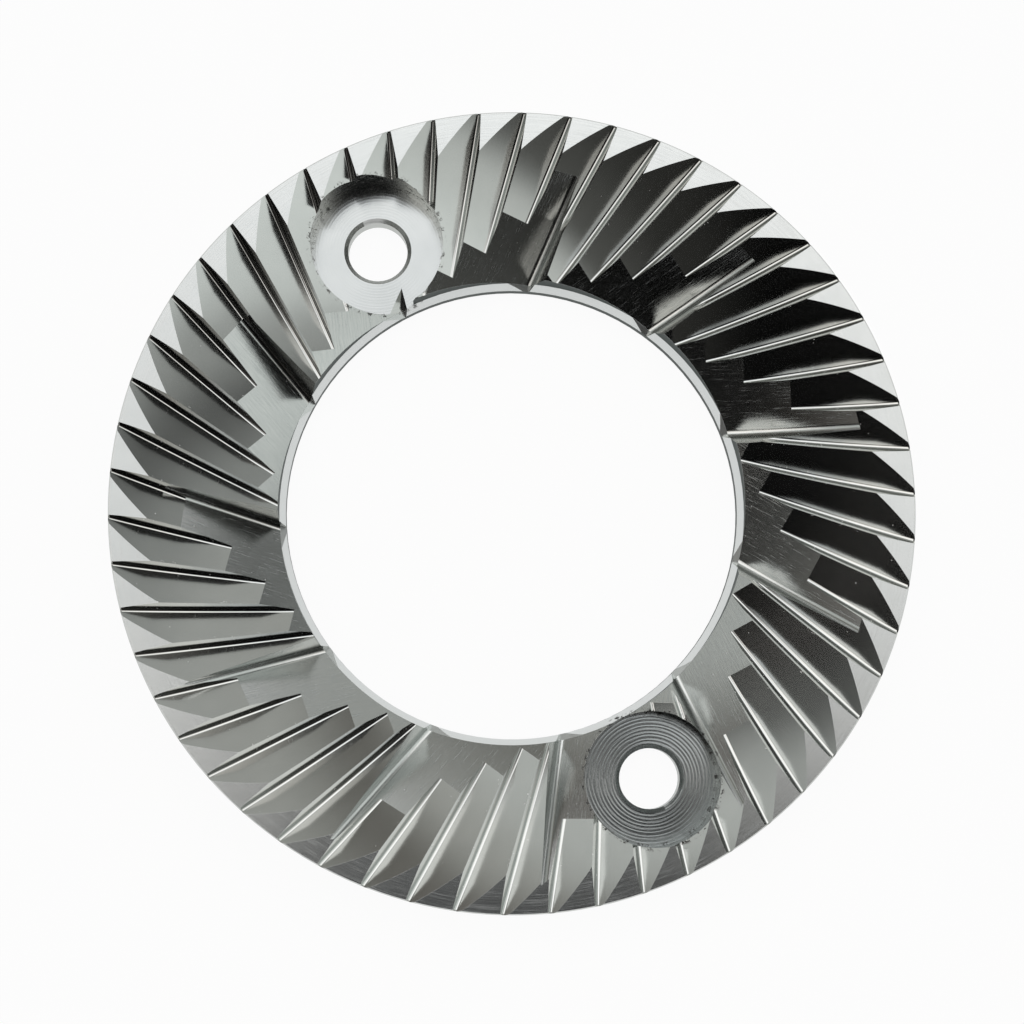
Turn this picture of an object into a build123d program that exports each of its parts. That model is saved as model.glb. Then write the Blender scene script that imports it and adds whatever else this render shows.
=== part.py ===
from build123d import *
import math
import os

# Ring blank, mm
outer_diameter = 80.0
bore_diameter = 45.9
thickness = 8.0
back_edge_break = 0.5
rim_edge_break = 0.12

# Bore lip: the bore is narrow next to the back face and opens through a bevel
mouth_diameter = 47.1
lip_height = 1.7
lip_bevel_height = 0.9

# Fine teeth: ground grooves whose lines pass the centre at a fixed offset.
# A low point is measured along the groove's line, inward from the rim.
fine_count = 54
fine_first_angle = 1.41
fine_offset = 9.82
fine_floor_angle = 28.0
fine_rake_angle = 22.0
fine_root_radius = 0.35
fine_depth = 3.24
fine_low_point = 16.55
fine_wheel_radius = 48.0

# Breaker pockets: fewer and deeper cuts that open at the bore mouth.
# Their wheel is deepest above the open bore.
pocket_count = 11
pocket_first_angle = 19.54
pocket_offset = 7.97
pocket_floor_angle = 27.8
pocket_rake_angle = 20.0
pocket_root_radius = 0.6
pocket_depth = 9.6
pocket_low_point = 38.0
pocket_wheel_radius = 69.2

# Screw holes: a flat-floored recess and a hole with a broken edge, evenly round one circle
screw_count = 2
screw_first_angle = 117.0
screw_circle_diameter = 60.4
recess_diameter = 13.4
recess_depth = 5.6
screw_hole_diameter = 6.1
screw_hole_edge_break = 0.4

# Clearances that let every cutter leave the metal
run_out = 2.0
head_room = 1.0

outer_radius = outer_diameter / 2
bore_radius = bore_diameter / 2
mouth_radius = mouth_diameter / 2


def ring_blank():
    """Plain turned ring with a lipped bore and broken edges, back face at z = 0."""
    with BuildPart() as blank:
        with BuildSketch(Plane.XZ):
            with BuildLine():
                Polyline(
                    (bore_radius + back_edge_break, 0),
                    (outer_radius - back_edge_break, 0),
                    (outer_radius, back_edge_break),
                    (outer_radius, thickness - rim_edge_break),
                    (outer_radius - rim_edge_break, thickness),
                    (mouth_radius, thickness),
                    (mouth_radius, lip_height + lip_bevel_height),
                    (bore_radius, lip_height),
                    (bore_radius, back_edge_break),
                    close=True,
                )
            make_face()
        revolve(axis=Axis.Z)
    return blank.part


def chord_length(offset, radius):
    """Distance from the foot of the offset line to a circle round the bore."""
    return math.sqrt(radius ** 2 - offset ** 2)


def line_turn(offset, radius):
    """Angle at which the line of an unturned cut crosses a circle round the bore."""
    return math.degrees(math.atan2(offset, chord_length(offset, radius)))


def wheel_cut(count, offset, floor_angle, rake_angle, root_radius, depth, low_point, wheel_radius):
    """Metal that one grinding wheel takes away, its line running along X at y = offset.

    The cut runs from past the rim to past the bore edge, there as far round as the next line.
    """
    rim_x = chord_length(offset, outer_radius)
    next_line_turn = line_turn(offset, bore_radius) + 360 / count
    bore_x = bore_radius * math.cos(math.radians(next_line_turn))
    low_x = rim_x - low_point
    root_z = thickness - depth
    axle_z = root_z + wheel_radius
    tall = depth + head_room
    floor_run = tall / math.tan(math.radians(floor_angle))
    rake_run = tall * math.tan(math.radians(rake_angle))
    profile_plane = Plane(origin=(low_x, 0, 0), x_dir=(0, 1, 0), z_dir=(1, 0, 0))
    axle = Axis((low_x, 0, axle_z), (0, 1, 0))
    near = math.degrees(math.asin((bore_x - run_out - low_x) / wheel_radius))
    far = math.degrees(math.asin((rim_x + run_out - low_x) / wheel_radius))
    with BuildPart() as wheel:
        with BuildSketch(profile_plane) as profile:
            with BuildLine():
                Polyline(
                    (offset, root_z),
                    (offset + floor_run, root_z + tall),
                    (offset - rake_run, root_z + tall),
                    close=True,
                )
            make_face()
            fillet(profile.vertices().sort_by(Axis.Z)[0], root_radius)
        revolve(axis=axle, revolution_arc=far - near)
    return wheel.part.rotate(axle, -far)


def cuts_around(cut, count, first_angle, home_angle):
    """One cut repeated round the ring."""
    step = 360 / count
    return [cut.rotate(Axis.Z, first_angle - home_angle + step * i) for i in range(count)]


def fine_grooves():
    cut = wheel_cut(
        fine_count, fine_offset, fine_floor_angle, fine_rake_angle, fine_root_radius,
        fine_depth, fine_low_point, fine_wheel_radius,
    )
    return cuts_around(cut, fine_count, fine_first_angle, line_turn(fine_offset, outer_radius))


def breaker_pockets():
    cut = wheel_cut(
        pocket_count, pocket_offset, pocket_floor_angle, pocket_rake_angle, pocket_root_radius,
        pocket_depth, pocket_low_point, pocket_wheel_radius,
    )
    return cuts_around(cut, pocket_count, pocket_first_angle, line_turn(pocket_offset, mouth_radius))


def screw_cut():
    """Recess and through hole of one screw."""
    floor_z = thickness - recess_depth
    hole_radius = screw_hole_diameter / 2
    with BuildPart() as cut:
        with BuildSketch(Plane.XZ):
            with BuildLine():
                Polyline(
                    (0, -head_room),
                    (hole_radius, -head_room),
                    (hole_radius, floor_z - screw_hole_edge_break),
                    (hole_radius + screw_hole_edge_break, floor_z),
                    (recess_diameter / 2, floor_z),
                    (recess_diameter / 2, thickness + head_room),
                    (0, thickness + head_room),
                    close=True,
                )
            make_face()
        revolve(axis=Axis.Z)
    return cut.part


def screw_holes():
    cut = screw_cut().translate((screw_circle_diameter / 2, 0, 0))
    return cuts_around(cut, screw_count, screw_first_angle, 0)


def main():
    os.makedirs("parts", exist_ok=True)
    ring = ring_blank() - fine_grooves()
    ring = ring - breaker_pockets()
    ring = ring - screw_holes()
    ring.label = "burr_ring"
    export_step(ring, "parts/burr_ring.step")


main()
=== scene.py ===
"""A flat coffee grinder burr, toothed face up, on a pale table under soft studio light."""
from math import acos, cos, radians, sin, sqrt, tan
from types import SimpleNamespace

import bpy
from mathutils import Matrix, Vector


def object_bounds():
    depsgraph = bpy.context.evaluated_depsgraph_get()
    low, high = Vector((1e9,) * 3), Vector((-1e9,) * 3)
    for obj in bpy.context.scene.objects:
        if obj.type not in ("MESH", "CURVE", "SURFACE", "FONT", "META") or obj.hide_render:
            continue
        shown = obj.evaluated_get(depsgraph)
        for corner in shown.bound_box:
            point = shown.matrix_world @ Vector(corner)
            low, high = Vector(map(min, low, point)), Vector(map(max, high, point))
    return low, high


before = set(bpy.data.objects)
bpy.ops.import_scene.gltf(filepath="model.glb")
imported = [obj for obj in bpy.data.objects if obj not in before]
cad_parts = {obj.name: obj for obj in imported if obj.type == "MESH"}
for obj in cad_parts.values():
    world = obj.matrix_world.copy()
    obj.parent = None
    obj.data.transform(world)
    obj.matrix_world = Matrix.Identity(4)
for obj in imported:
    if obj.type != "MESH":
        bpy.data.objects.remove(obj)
cad_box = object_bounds()


def grey(level, warm=0.0, green=0.0):
    """A plain grey as red, green, blue and alpha, warm above 0 and cold below, greener with green."""
    return (level * (1 + warm - green), level, level * (1 - warm - green), 1.0)


# Sizes of the burr in millimetres, the ones its machining marks follow
MM = 0.001
RING_HIGH = (cad_box[1][2] - cad_box[0][2]) / MM
RIM_RADIUS = (cad_box[1][0] - cad_box[0][0]) / 2 / MM
RIM_BREAK = 0.12
MOUTH_RADIUS = 23.55
SCREW_CIRCLE_RADIUS = 30.2
FIRST_SCREW_BEARING = 117.0
RECESS_RADIUS = 6.7

# Slack of the zones in millimetres, so that a point on an edge falls on the right side of it
EDGE_SLACK = 0.005
RIM_SLACK = 0.01
BACK_SKIN = 0.05
FACE_SLACK = 0.5

# Where a face is steep: by the lean of a groove's profile, and by the upward part of a normal
STEEP_LEAN = (-0.6, -0.85)
BORE_WALL_UPWARD = (0.3, 0.2)
UPRIGHT_UPWARD = 0.5

# Colour of each finish, with painted shade and a painted highlight among them
STEEL_DULL = grey(0.59, 0.0, 0.022)
STEEL_CLEAR = grey(0.65, 0.004, 0.018)
POCKET_SCORE = grey(0.56, -0.01, 0.025)
# Painted shade: the second counterbore is coloured darker than the steel, standing in for the dark that
# its floor mirrors
SECOND_RECESS_PAINTED_SHADE = grey(0.46, -0.015, 0.03)
# Painted shade: the bore's steep wall is coloured nearly black, standing in for the dark reflection
# along it
BORE_WALL_PAINTED_SHADE = grey(0.05, -0.10, 0.08)
# Painted highlight: the bore's bevel is coloured lighter than the steel, standing in for the bright
# reflection that fades to white at the lip
BORE_BEVEL_PAINTED_HIGHLIGHT = grey(0.72, -0.01, 0.02)
BARE_METAL = grey(0.9)
BLACK_NICK = grey(0.05, 0.05)
GRAZING_TINT = grey(0.70, 0.0, 0.02)

# Roughness of each finish. Pairs go from the clean metal to the marks in it.
ROUGH_WALL = 0.10
ROUGH_FLOOR = 0.145
ROUGH_TURNED = (0.12, 0.22)
ROUGH_POCKET = (0.15, 0.32)
ROUGH_RECESS = 0.15
ROUGH_BORE = 0.30
ROUGH_WORN = 0.5
ROUGH_GRAIN = 0.05
BRUSHED_BLUR = 0.7

# Height of each tool's marks, as a share of the bump's depth. The depth is in metres.
TURNED_HEIGHT = 0.42
GROUND_HEIGHT = 0.13
SCORED_HEIGHT = 0.75
WALL_HEIGHT = 0.45
FIRST_RINGS_HEIGHT = 0.06
SECOND_RINGS_HEIGHT = 0.26
GRAIN_HEIGHT = 0.06
BUMP_STRENGTH = 0.35
BUMP_DEPTH = 0.00003

# Levels of a mark's noise over which the clean metal gives way to the mark
TURNED_LEVEL = (0.46, 0.66)
SCORED_LEVEL = (0.50, 0.70)
SCORED_TONE_LEVEL = (0.35, 0.65)

# How near the floor's full lean a groove's profile counts as its floor
FLOOR_LEAN_START = 0.06
FLOOR_LEAN_END = 0.01

# Wear. Bands are in millimetres. The specks lie in cells, counted to a millimetre, and their size is
# a share of a cell. Levels are those of the noise that breaks the wear up.
CHIP_BAND = (-0.9, -0.4)
CHIP_LEVEL = (0.64, 0.70)
SPECK_CELLS = 0.9
SPECK_SIZE = (0.06, 0.03)
SPECK_LEVEL = (0.5, 0.6)
NICK_RADIUS = RECESS_RADIUS + 0.05
NICK_BAND = (0.40, 0.12)
NICK_LEVEL = (0.54, 0.59)
NICK_SHARE_AHEAD = 0.75

# Millimetres between the feed marks in the two recesses, and how many pitches they wander
FIRST_RINGS_PITCH = 0.30
FIRST_RINGS_WANDER = 1.2
SECOND_RINGS_PITCH = 0.34
SECOND_RINGS_WANDER = 1.1

# Camera: where it stands over the toothed face in millimetres, how it leans in degrees, and its lens
CAMERA_STAND = (-6.36, -25.07, 220.0)
CAMERA_PITCH = -6.34
CAMERA_ROLL = 1.60
CAMERA_LENS = 78.7
SENSOR = 36.0

# Surroundings: light and dark cards round the burr, as bearing, level and warmth.
# Bearings are degrees from +X towards +Y. The low cards stand at the sides, the high ones hang over it.
LOW_CARDS = (
    (-180, 0.50, 0.00), (-166, 0.10, 0.00), (-150, 0.003, 0.00), (-80, 0.001, 0.00),
    (-55, 0.03, 0.05), (-32, 0.10, 0.03), (-20, 0.72, 0.00), (0, 0.95, -0.01),
    (20, 0.85, -0.01), (34, 0.40, 0.00), (48, 0.12, 0.00), (64, 0.32, 0.00),
    (80, 0.46, 0.01), (98, 0.44, 0.02), (119, 0.16, 0.06), (135, 0.50, 0.02),
    (150, 0.64, 0.00), (170, 0.66, 0.00), (180, 0.50, 0.00),
)
LOW_CARDS_GREEN = 0.035
HIGH_CARDS = (
    (-180, 1.45, 0.04), (-156, 1.20, 0.05), (-138, 0.20, 0.06), (-122, 0.01, 0.00),
    (-38, 0.01, 0.00), (-19, 0.18, 0.06), (0, 0.85, 0.05), (20, 1.50, 0.02),
    (90, 1.60, 0.00), (150, 1.50, 0.02), (180, 1.45, 0.04),
)
HORIZON_COLOUR = grey(0.9)
TOP_SHARE = grey(0.70, -0.03)

# Heights, as the upward part of a direction, over which the low cards, the high cards and the top begin
LOW_CARDS_START = (0.20, 0.35)
HIGH_CARDS_START = (0.72, 0.79)
TOP_START = (0.95, 0.97)

# A shade that stands low at the left, by its reach along X and its height
SHADE_COLOUR = grey(0.13, 0.10)
SHADE_SIDE = (-0.30, -0.55)
SHADE_HEIGHT = (0.52, 0.43)

# The dim disc of the camera's lens straight above, darker on its near side
LENS_AHEAD = 0.022
LENS_REACH = 0.105
LENS_EDGE = 0.02
LENS_HEIGHT = (0.5, 0.6)
LENS_FADE = (-0.04, 0.09)
LENS_NEAR = grey(0.14, -0.02)
LENS_FAR = grey(0.34)

TABLE_HALF = 1.5
TABLE_PAINT = grey(0.92)
TABLE_GLOW = grey(1.0)
TABLE_WHITE = 0.95


class Desk:
    """Lays shader nodes in one tree. An input is a number, a tuple or another node's output."""

    # Where a Mix node has its two inputs and its output, for each kind of data
    MIX_SOCKETS = {"FLOAT": (2, 3, 0), "VECTOR": (4, 5, 1), "RGBA": (6, 7, 2)}

    def __init__(self, tree):
        self.tree = tree
        self.tree.nodes.clear()

    def node(self, kind, *inputs, **settings):
        made = self.tree.nodes.new(kind)
        for name, value in settings.items():
            setattr(made, name, value)
        for socket, value in zip(made.inputs, inputs):
            self.feed(socket, value)
        return made

    def feed(self, socket, value):
        if isinstance(value, bpy.types.NodeSocket):
            self.tree.links.new(value, socket)
        else:
            socket.default_value = value

    def math(self, operation, *inputs):
        return self.node("ShaderNodeMath", *inputs, operation=operation).outputs[0]

    def step(self, value, start, end, low=0.0, high=1.0):
        """Smooth rise from low to high while value goes from start to end."""
        made = self.node(
            "ShaderNodeMapRange", value, start, end, low, high, interpolation_type="SMOOTHSTEP")
        return made.outputs[0]

    def both(self, one, other):
        return self.math("MULTIPLY", one, other)

    def inverse(self, value):
        return self.math("SUBTRACT", 1.0, value)

    def length(self, x, y):
        """Length of the level line from the origin to (x, y)."""
        return self.math("SQRT", self.math("ADD", self.both(x, x), self.both(y, y)))

    def join(self, x, y, z):
        return self.node("ShaderNodeCombineXYZ", x, y, z).outputs[0]

    def split(self, vector):
        return self.node("ShaderNodeSeparateXYZ", vector).outputs

    def noise(self, vector, scale, detail=3.0, rough=0.5):
        made = self.node("ShaderNodeTexNoise", vector)
        made.inputs["Scale"].default_value = scale
        made.inputs["Detail"].default_value = detail
        made.inputs["Roughness"].default_value = rough
        return made.outputs["Fac"]

    def streaks(self, across, fine, along, long, row, detail, rough):
        """Noise drawn out along a tool's way.

        The numbers fine and long say how many waves there are to a unit across and along the way.
        The row keeps one groove's marks apart from the next one's."""
        vector = self.join(self.both(across, fine), self.both(along, long), row)
        return self.noise(vector, 1.0, detail, rough)

    def mix(self, kind, factor, first, second):
        first_socket, second_socket, result = self.MIX_SOCKETS[kind]
        made = self.node("ShaderNodeMix", factor, data_type=kind)
        self.feed(made.inputs[first_socket], first)
        self.feed(made.inputs[second_socket], second)
        return made.outputs[result]

    def blend(self, factor, first, second):
        """Number that goes from the first to the second with the factor."""
        return self.mix("FLOAT", factor, first, second)

    def turn(self, factor, first, second):
        """Direction that goes from the first to the second with the factor."""
        return self.mix("VECTOR", factor, first, second)

    def tint(self, factor, first, second):
        """Colour that goes from the first to the second with the factor."""
        return self.mix("RGBA", factor, first, second)


class Cut:
    """Shape of one kind of wheel-cut groove, with the sizes that the solid was cut with.

    Angles are in degrees and lengths in millimetres. The low point is measured along the groove's
    line, inward from the rim. Across the groove, the centre of the round root lies on the line that
    halves the angle between floor and wall."""

    def __init__(
        self, count, first_angle, home_radius, offset, floor_angle, rake_angle, root_radius,
        depth, low_point, wheel_radius,
    ):
        self.count = count
        self.pitch = radians(360.0 / count)
        self.first_normal = radians(first_angle) + acos(offset / home_radius)
        self.offset = offset
        self.floor_slope = tan(radians(floor_angle))
        self.wall_slope = -1 / tan(radians(rake_angle))
        self.floor_lean = sin(radians(floor_angle))
        self.wall_lean = -cos(radians(rake_angle))
        self.root_radius = root_radius
        opening = radians(90.0 - floor_angle + rake_angle)
        halving_line = radians(135.0 - (floor_angle + rake_angle) / 2)
        self.root_centre = root_radius / sin(opening / 2) * cos(halving_line)
        self.depth = depth
        self.wheel_radius = wheel_radius
        self.low_along = sqrt(RIM_RADIUS ** 2 - offset ** 2) - low_point


FINE = Cut(
    count=54, first_angle=1.41, home_radius=RIM_RADIUS, offset=9.82,
    floor_angle=28.0, rake_angle=22.0, root_radius=0.35,
    depth=3.24, low_point=16.55, wheel_radius=48.0,
)
POCKET = Cut(
    count=11, first_angle=19.54, home_radius=MOUTH_RADIUS, offset=7.97,
    floor_angle=27.8, rake_angle=20.0, root_radius=0.6,
    depth=9.6, low_point=38.0, wheel_radius=69.2,
)


def cut_surface(desk, cut, x, y, radius, bearing):
    """The flank of this kind of cut under a point of the toothed face, and how it lies there.

    A point lies between two grooves. The deeper one of the floor of the clockwise groove and the
    wall of the other groove is what the wheel left. Both are surfaces turned about the wheel's axle.
    Gives the depth, the unit normal, the lean of the profile, the place along and across the groove,
    the groove's number, the level direction across it and the wall's lead over the floor in depth."""
    reach = desk.math("DIVIDE", cut.offset, radius)
    normal_bearing = desk.math("ADD", bearing, desk.math("ARCCOSINE", reach))
    turned_by = desk.math("SUBTRACT", normal_bearing, cut.first_normal)
    own = desk.math("FLOOR", desk.math("DIVIDE", turned_by, cut.pitch))

    def flank(number, slope):
        angle = desk.math("MULTIPLY_ADD", number, cut.pitch, cut.first_normal)
        cosine = desk.math("COSINE", angle)
        sine = desk.math("SINE", angle)
        along = desk.math("SUBTRACT", desk.both(x, sine), desk.both(y, cosine))
        outward = desk.math("MULTIPLY_ADD", y, sine, desk.both(x, cosine))
        across = desk.math("SUBTRACT", cut.offset, outward)
        inward = desk.math("SUBTRACT", cut.low_along, along)
        arm = desk.math("MULTIPLY_ADD", across, slope, cut.wheel_radius)
        fall = desk.math("SUBTRACT", desk.both(arm, arm), desk.both(inward, inward))
        depth = desk.math("ADD", desk.math("SQRT", fall), cut.depth - cut.wheel_radius)
        return depth, along, across, cosine, sine, number

    floor = flank(own, cut.floor_slope)
    wall = flank(desk.math("ADD", own, 1.0), cut.wall_slope)
    lead = desk.math("SUBTRACT", wall[0], floor[0])
    on_wall = desk.math("GREATER_THAN", lead, 0.0)
    depth, along, across, cosine, sine, number = (
        desk.blend(on_wall, on_floor_side, on_wall_side)
        for on_floor_side, on_wall_side in zip(floor, wall)
    )
    number = desk.math("FLOORED_MODULO", desk.math("ROUND", number), cut.count)

    lean = desk.math("DIVIDE", desk.math("SUBTRACT", cut.root_centre, across), cut.root_radius)
    lean = desk.math("MAXIMUM", desk.math("MINIMUM", lean, cut.floor_lean), cut.wall_lean)
    rise = desk.math("SQRT", desk.inverse(desk.both(lean, lean)))
    tip = desk.math("DIVIDE", desk.math("SUBTRACT", along, cut.low_along), cut.wheel_radius)
    tilt = desk.both(rise, tip)
    normal_x = desk.math("ADD", desk.both(lean, cosine), desk.both(tilt, sine))
    normal_y = desk.math("SUBTRACT", desk.both(tilt, cosine), desk.both(lean, sine))
    normal_z = desk.both(rise, desk.math("SQRT", desk.inverse(desk.both(tip, tip))))
    normal = desk.join(desk.both(normal_x, -1.0), normal_y, normal_z)
    aside = desk.join(cosine, sine, 0.0)
    return SimpleNamespace(
        depth=depth, normal=normal, lean=lean, along=along, across=across, number=number,
        aside=aside, lead=lead,
    )


def screw_place(desk, x, y, bearing):
    """Distance from the axis of the screw hole at this bearing, the angle round it and the direction
    away from it."""
    side = desk.math("SUBTRACT", x, SCREW_CIRCLE_RADIUS * cos(radians(bearing)))
    ahead = desk.math("SUBTRACT", y, SCREW_CIRCLE_RADIUS * sin(radians(bearing)))
    return SimpleNamespace(
        distance=desk.length(side, ahead),
        angle=desk.math("ARCTAN2", ahead, side),
        outward=desk.join(side, ahead, 0.0),
    )


def burr_place(desk):
    """Where a point lies on the burr, in millimetres, in its grooves and round its two screws."""
    metres = desk.node("ShaderNodeTexCoord").outputs["Object"]
    scaled = desk.node("ShaderNodeVectorMath", metres, operation="SCALE")
    scaled.inputs["Scale"].default_value = 1 / MM
    place = scaled.outputs[0]
    x, y, z = desk.split(place)
    radius = desk.math("MAXIMUM", desk.length(x, y), MOUTH_RADIUS / 2)
    bearing = desk.math("ARCTAN2", y, x)
    faces = desk.node("ShaderNodeNewGeometry").outputs["True Normal"]
    return SimpleNamespace(
        place=place, x=x, y=y, z=z, radius=radius, bearing=bearing,
        upward=desk.split(faces)[2],
        depth=desk.math("SUBTRACT", RING_HIGH, z),
        fine=cut_surface(desk, FINE, x, y, radius, bearing),
        pocket=cut_surface(desk, POCKET, x, y, radius, bearing),
        first_screw=screw_place(desk, x, y, FIRST_SCREW_BEARING),
        second_screw=screw_place(desk, x, y, FIRST_SCREW_BEARING + 180.0),
    )


def burr_zones(desk, at):
    """Which tool left the surface at a point. Each zone is 1 inside and 0 outside."""
    above_back = desk.math("GREATER_THAN", at.z, BACK_SKIN)

    def recess(screw):
        return desk.both(desk.math("LESS_THAN", screw.distance, RECESS_RADIUS + EDGE_SLACK), above_back)

    first_recess = recess(at.first_screw)
    second_recess = recess(at.second_screw)
    beside_recesses = desk.inverse(desk.math("MAXIMUM", first_recess, second_recess))

    cut_depth = desk.math("MAXIMUM", at.fine.depth, at.pocket.depth)
    face_depth = desk.math("MAXIMUM", cut_depth, 0.0)
    astray = desk.math("ABSOLUTE", desk.math("SUBTRACT", at.depth, face_depth))
    rim_edge = RIM_RADIUS - RIM_BREAK - RIM_SLACK
    toothed = desk.both(desk.math("LESS_THAN", astray, FACE_SLACK), beside_recesses)
    toothed = desk.both(toothed, desk.math("LESS_THAN", at.radius, rim_edge))
    toothed = desk.both(toothed, desk.math("GREATER_THAN", at.radius, MOUTH_RADIUS + EDGE_SLACK))
    is_cut = desk.both(toothed, desk.math("GREATER_THAN", cut_depth, 0.0))
    land = desk.both(toothed, desk.inverse(is_cut))
    pocket_wins = desk.math("GREATER_THAN", at.pocket.depth, at.fine.depth)
    lean = desk.blend(pocket_wins, at.fine.lean, at.pocket.lean)
    steep = desk.both(is_cut, desk.step(lean, *STEEP_LEAN))

    bore = desk.math("LESS_THAN", at.radius, MOUTH_RADIUS + EDGE_SLACK)
    bore_wall = desk.both(bore, desk.step(at.upward, *BORE_WALL_UPWARD))
    plain = desk.both(desk.both(desk.inverse(toothed), beside_recesses), desk.inverse(bore))
    stands_up = desk.math("LESS_THAN", desk.math("ABSOLUTE", at.upward), UPRIGHT_UPWARD)
    return SimpleNamespace(
        above_back=above_back, first_recess=first_recess, second_recess=second_recess,
        beside_recesses=beside_recesses, is_cut=is_cut, land=land, lean=lean, steep=steep,
        pocket=desk.both(is_cut, pocket_wins),
        fine=desk.both(is_cut, desk.inverse(pocket_wins)),
        bore=bore, bore_wall=bore_wall, bore_bevel=desk.both(bore, desk.inverse(bore_wall)),
        turned=desk.math("MAXIMUM", land, plain),
        upright=desk.both(stands_up, desk.inverse(toothed)),
    )


def feed_rings(desk, screw, pitch, wander):
    """Spiral feed marks of a counterbore: a sine of the distance and the turn, a little uneven."""
    vector = desk.join(desk.both(screw.distance, 3.0), screw.angle, 0.0)
    uneven = desk.noise(vector, 1.2, 3.0, 0.6)
    phase = desk.math("MULTIPLY_ADD", uneven, wander, desk.math("DIVIDE", screw.distance, pitch))
    phase = desk.math("ADD", phase, desk.math("DIVIDE", screw.angle, radians(360.0)))
    return desk.math("SINE", desk.both(phase, radians(360.0)))


def tool_marks(desk, at, zone):
    """Machining marks, each a noise drawn out the way its tool ran, and their height together."""
    fine = at.fine
    pocket = at.pocket
    turned = desk.streaks(
        across=desk.math("ADD", at.radius, at.z), fine=8.0, along=at.bearing, long=7.0,
        row=0.0, detail=4.0, rough=0.7)
    ground = desk.streaks(
        across=fine.across, fine=7.0, along=fine.along, long=0.25,
        row=desk.both(fine.number, 3.1), detail=4.0, rough=0.6)
    scored = desk.streaks(
        across=pocket.across, fine=8.0, along=pocket.along, long=0.35,
        row=pocket.number, detail=5.0, rough=0.75)
    slanting = desk.math("MULTIPLY_ADD", at.depth, 2.5, desk.both(fine.along, 6.0))
    walled = desk.streaks(
        across=slanting, fine=1.0, along=at.depth, long=0.7,
        row=fine.number, detail=3.0, rough=0.6)
    first_rings = feed_rings(desk, at.first_screw, FIRST_RINGS_PITCH, FIRST_RINGS_WANDER)
    second_rings = feed_rings(desk, at.second_screw, SECOND_RINGS_PITCH, SECOND_RINGS_WANDER)
    grain = desk.noise(at.place, 3.0, 6.0, 0.65)

    height = desk.both(grain, GRAIN_HEIGHT)
    for marks, where, share in (
        (turned, zone.turned, TURNED_HEIGHT),
        (ground, zone.fine, GROUND_HEIGHT),
        (scored, zone.pocket, SCORED_HEIGHT),
        (walled, zone.steep, WALL_HEIGHT),
        (first_rings, zone.first_recess, FIRST_RINGS_HEIGHT),
        (second_rings, zone.second_recess, SECOND_RINGS_HEIGHT),
    ):
        height = desk.math("MULTIPLY_ADD", desk.both(marks, where), share, height)
    return SimpleNamespace(turned=turned, scored=scored, grain=grain, height=height)


def burr_wear(desk, at, zone):
    """Chips on the cutting edges and stray bright specks, and the dark nicks where the counterbores
    broke out of the teeth."""
    fine = at.fine
    cutting_edge = desk.both(desk.step(fine.lead, *CHIP_BAND), zone.fine)
    chip_noise = desk.streaks(
        across=fine.along, fine=2.2, along=fine.lead, long=1.2,
        row=desk.both(fine.number, 7.3), detail=4.0, rough=0.7)
    chips = desk.both(cutting_edge, desk.step(chip_noise, *CHIP_LEVEL))
    speck_cells = desk.node("ShaderNodeTexVoronoi", at.place, distance="EUCLIDEAN")
    speck_cells.inputs["Scale"].default_value = SPECK_CELLS
    specks = desk.step(speck_cells.outputs["Distance"], *SPECK_SIZE)
    specks = desk.both(specks, desk.step(desk.noise(at.place, 0.35, 2.0), *SPECK_LEVEL))
    bright = desk.math("MAXIMUM", chips, desk.both(specks, zone.is_cut))

    nick_noise = desk.noise(at.place, 1.5, 5.0, 0.8)
    nearest = desk.math("MINIMUM", at.first_screw.distance, at.second_screw.distance)
    off_edge = desk.math("ABSOLUTE", desk.math("SUBTRACT", nearest, NICK_RADIUS))
    nicks = desk.both(desk.step(off_edge, *NICK_BAND), desk.step(nick_noise, *NICK_LEVEL))
    fewer_ahead = desk.step(at.y, -RIM_RADIUS, RIM_RADIUS, 1.0, NICK_SHARE_AHEAD)
    nicks = desk.both(desk.both(nicks, zone.above_back), fewer_ahead)
    return SimpleNamespace(bright=bright, nicks=nicks)


def steel_colour(desk, at, zone, marks, wear):
    """Cloudy steel, toned finish by finish, with painted shade on the bore wall and in the second
    recess and a painted highlight on the bore's bevel.
    """
    cloud = desk.noise(at.place, 0.5, 3.0, 0.5)
    steel = desk.tint(cloud, STEEL_DULL, STEEL_CLEAR)
    for where, colour in (
        (desk.both(zone.pocket, desk.step(marks.scored, *SCORED_TONE_LEVEL)), POCKET_SCORE),
        # The second recess and the bore wall get painted shade here, and the bore's bevel a painted
        # highlight
        (zone.second_recess, SECOND_RECESS_PAINTED_SHADE),
        (zone.bore_wall, BORE_WALL_PAINTED_SHADE),
        (zone.bore_bevel, BORE_BEVEL_PAINTED_HIGHLIGHT),
        (wear.bright, BARE_METAL),
        (wear.nicks, BLACK_NICK),
    ):
        steel = desk.tint(where, steel, colour)
    return steel


def steel_roughness(desk, zone, marks, wear):
    """Roughness, set finish by finish. Scratches are rougher than the metal beside them."""
    floor = desk.step(zone.lean, FINE.floor_lean - FLOOR_LEAN_START, FINE.floor_lean - FLOOR_LEAN_END)
    turned = desk.blend(desk.step(marks.turned, *TURNED_LEVEL), *ROUGH_TURNED)
    pocket = desk.blend(desk.step(marks.scored, *SCORED_LEVEL), *ROUGH_POCKET)
    rough = desk.blend(desk.both(zone.fine, floor), ROUGH_WALL, ROUGH_FLOOR)
    rough = desk.blend(zone.turned, rough, turned)
    rough = desk.blend(zone.pocket, rough, pocket)
    rough = desk.blend(zone.beside_recesses, ROUGH_RECESS, rough)
    rough = desk.blend(zone.bore, rough, ROUGH_BORE)
    rough = desk.math("MULTIPLY_ADD", desk.math("SUBTRACT", marks.grain, 0.5), ROUGH_GRAIN, rough)
    return desk.blend(desk.math("MAXIMUM", wear.bright, wear.nicks), rough, ROUGH_WORN)


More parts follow.
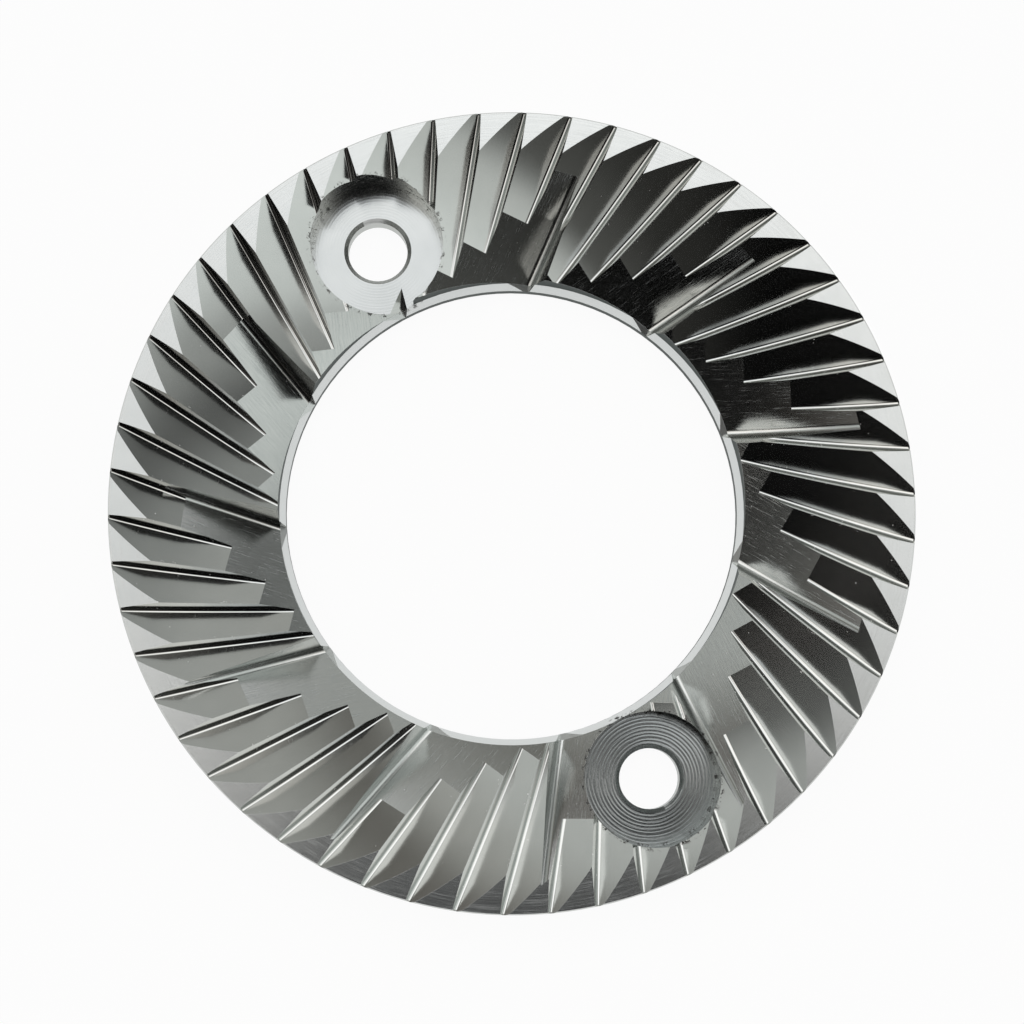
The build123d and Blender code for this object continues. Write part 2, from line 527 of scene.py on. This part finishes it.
def exact_normal(desk, at, zone, level_up):
    """The face that the wheels and the lathe left, free of the mesh's facets at the groove roots."""
    normal = desk.node("ShaderNodeNewGeometry").outputs["Normal"]
    normal = desk.turn(zone.land, normal, level_up)
    normal = desk.turn(zone.fine, normal, at.fine.normal)
    return desk.turn(zone.pocket, normal, at.pocket.normal)


def blur_direction(desk, at, zone, level_up):
    """The direction across the marks, in which they blur a reflection more than along them."""
    away = desk.join(at.x, at.y, 0.0)
    way = desk.turn(zone.turned, at.fine.aside, away)
    way = desk.turn(zone.pocket, way, at.pocket.aside)
    way = desk.turn(zone.second_recess, way, at.second_screw.outward)
    way = desk.turn(zone.first_recess, way, at.first_screw.outward)
    return desk.turn(zone.upright, way, level_up)


def ground_steel():
    """Hardened steel with turned lands, ground grooves, scored pocket floors and turned recesses."""
    material = bpy.data.materials.new("ground_steel")
    material.use_nodes = True
    desk = Desk(material.node_tree)
    at = burr_place(desk)
    zone = burr_zones(desk, at)
    marks = tool_marks(desk, at, zone)
    wear = burr_wear(desk, at, zone)
    level_up = desk.join(0.0, 0.0, 1.0)

    bump = desk.node("ShaderNodeBump")
    bump.inputs["Strength"].default_value = BUMP_STRENGTH
    bump.inputs["Distance"].default_value = BUMP_DEPTH
    desk.feed(bump.inputs["Height"], marks.height)
    desk.feed(bump.inputs["Normal"], exact_normal(desk, at, zone, level_up))

    shader = desk.node("ShaderNodeBsdfPrincipled")
    shader.inputs["Metallic"].default_value = 1.0
    shader.inputs["Anisotropic"].default_value = BRUSHED_BLUR
    shader.inputs["Specular Tint"].default_value = GRAZING_TINT
    desk.feed(shader.inputs["Base Color"], steel_colour(desk, at, zone, marks, wear))
    desk.feed(shader.inputs["Roughness"], steel_roughness(desk, zone, marks, wear))
    desk.feed(shader.inputs["Normal"], bump.outputs[0])
    desk.feed(shader.inputs["Tangent"], blur_direction(desk, at, zone, level_up))
    desk.node("ShaderNodeOutputMaterial", shader.outputs[0])
    return material


def cards(desk, bearing, levels, green):
    """Light by bearing, going smoothly from one card to the next.

    The ramp's place is 0 at -180 degrees and 1 at 180 degrees."""
    share = desk.math("MULTIPLY_ADD", bearing, 1 / radians(360.0), 0.5)
    ramp = desk.node("ShaderNodeValToRGB", share)
    ramp.color_ramp.interpolation = "EASE"
    stops = ramp.color_ramp.elements
    while len(stops) > 1:
        stops.remove(stops[0])
    for i, (angle, level, warm) in enumerate(levels):
        place = (angle + 180.0) / 360.0
        stop = stops[0] if i == 0 else stops.new(place)
        stop.position = place
        stop.color = grey(level, warm, green)
    return ramp.outputs[0]


def studio_light():
    """Soft surroundings: a pale horizon, low cards, brighter high cards, a shade at the left and the
    dim disc of the camera straight above."""
    world = bpy.data.worlds.new("studio")
    bpy.context.scene.world = world
    world.use_nodes = True
    desk = Desk(world.node_tree)
    x, y, z = desk.split(desk.node("ShaderNodeTexCoord").outputs["Generated"])
    bearing = desk.math("ARCTAN2", y, x)
    low = cards(desk, bearing, LOW_CARDS, LOW_CARDS_GREEN)
    high = cards(desk, bearing, HIGH_CARDS, 0.0)
    top = desk.node("ShaderNodeVectorMath", high, TOP_SHARE[:3], operation="MULTIPLY").outputs[0]

    in_shade = desk.both(desk.step(x, *SHADE_SIDE), desk.step(z, *SHADE_HEIGHT))
    low = desk.tint(in_shade, low, SHADE_COLOUR)
    light = desk.tint(desk.step(z, *LOW_CARDS_START), HORIZON_COLOUR, low)
    light = desk.tint(desk.step(z, *HIGH_CARDS_START), light, high)
    light = desk.tint(desk.step(z, *TOP_START), light, top)

    off_lens = desk.length(x, desk.math("SUBTRACT", y, LENS_AHEAD))
    in_lens = desk.step(off_lens, LENS_REACH + LENS_EDGE, LENS_REACH - LENS_EDGE)
    in_lens = desk.both(in_lens, desk.step(z, *LENS_HEIGHT))
    lens = desk.tint(desk.step(y, *LENS_FADE), LENS_NEAR, LENS_FAR)
    light = desk.tint(in_lens, light, lens)
    shader = desk.node("ShaderNodeBackground", light)
    desk.node("ShaderNodeOutputWorld", shader.outputs[0])


def table():
    """Pale table top under the burr. Seen or mirrored it has its own plain white, and in soft light
    it keeps the burr's shadow."""
    mesh = bpy.data.meshes.new("table")
    corners = [
        (-TABLE_HALF, -TABLE_HALF, 0.0), (TABLE_HALF, -TABLE_HALF, 0.0),
        (TABLE_HALF, TABLE_HALF, 0.0), (-TABLE_HALF, TABLE_HALF, 0.0),
    ]
    mesh.from_pydata(corners, [], [(0, 1, 2, 3)])
    piece = bpy.data.objects.new("table", mesh)
    bpy.context.scene.collection.objects.link(piece)
    material = bpy.data.materials.new("table_white")
    material.use_nodes = True
    desk = Desk(material.node_tree)
    paint = desk.node("ShaderNodeBsdfDiffuse", TABLE_PAINT).outputs[0]
    glow = desk.node("ShaderNodeEmission", TABLE_GLOW).outputs[0]
    rays = desk.node("ShaderNodeLightPath")
    direct = desk.math("MAXIMUM", rays.outputs["Is Camera Ray"], rays.outputs["Is Glossy Ray"])
    direct = desk.math("MAXIMUM", direct, rays.outputs["Is Transmission Ray"])
    seen = desk.both(direct, TABLE_WHITE)
    mixed = desk.node("ShaderNodeMixShader", seen, paint, glow)
    desk.node("ShaderNodeOutputMaterial", mixed.outputs[0])
    mesh.materials.append(material)


def camera():
    """Camera over the burr, where the photograph's camera stood."""
    data = bpy.data.cameras.new("camera")
    data.lens = CAMERA_LENS
    data.sensor_width = SENSOR
    piece = bpy.data.objects.new("camera", data)
    bpy.context.scene.collection.objects.link(piece)
    roll = Matrix.Rotation(radians(CAMERA_ROLL), 3, "Y")
    pitch = Matrix.Rotation(radians(CAMERA_PITCH), 3, "X")
    x, y, z = CAMERA_STAND
    stand = Vector((x, y, z + RING_HIGH)) * MM
    piece.matrix_world = Matrix.Translation(stand) @ (roll @ pitch).transposed().to_4x4()
    bpy.context.scene.camera = piece


def dress_ring():
    """Steel finish on the burr itself."""
    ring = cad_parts["burr_ring"]
    ring.data.materials.clear()
    ring.data.materials.append(ground_steel())


dress_ring()
table()
studio_light()
camera()
bpy.context.scene.view_settings.view_transform = "Standard"
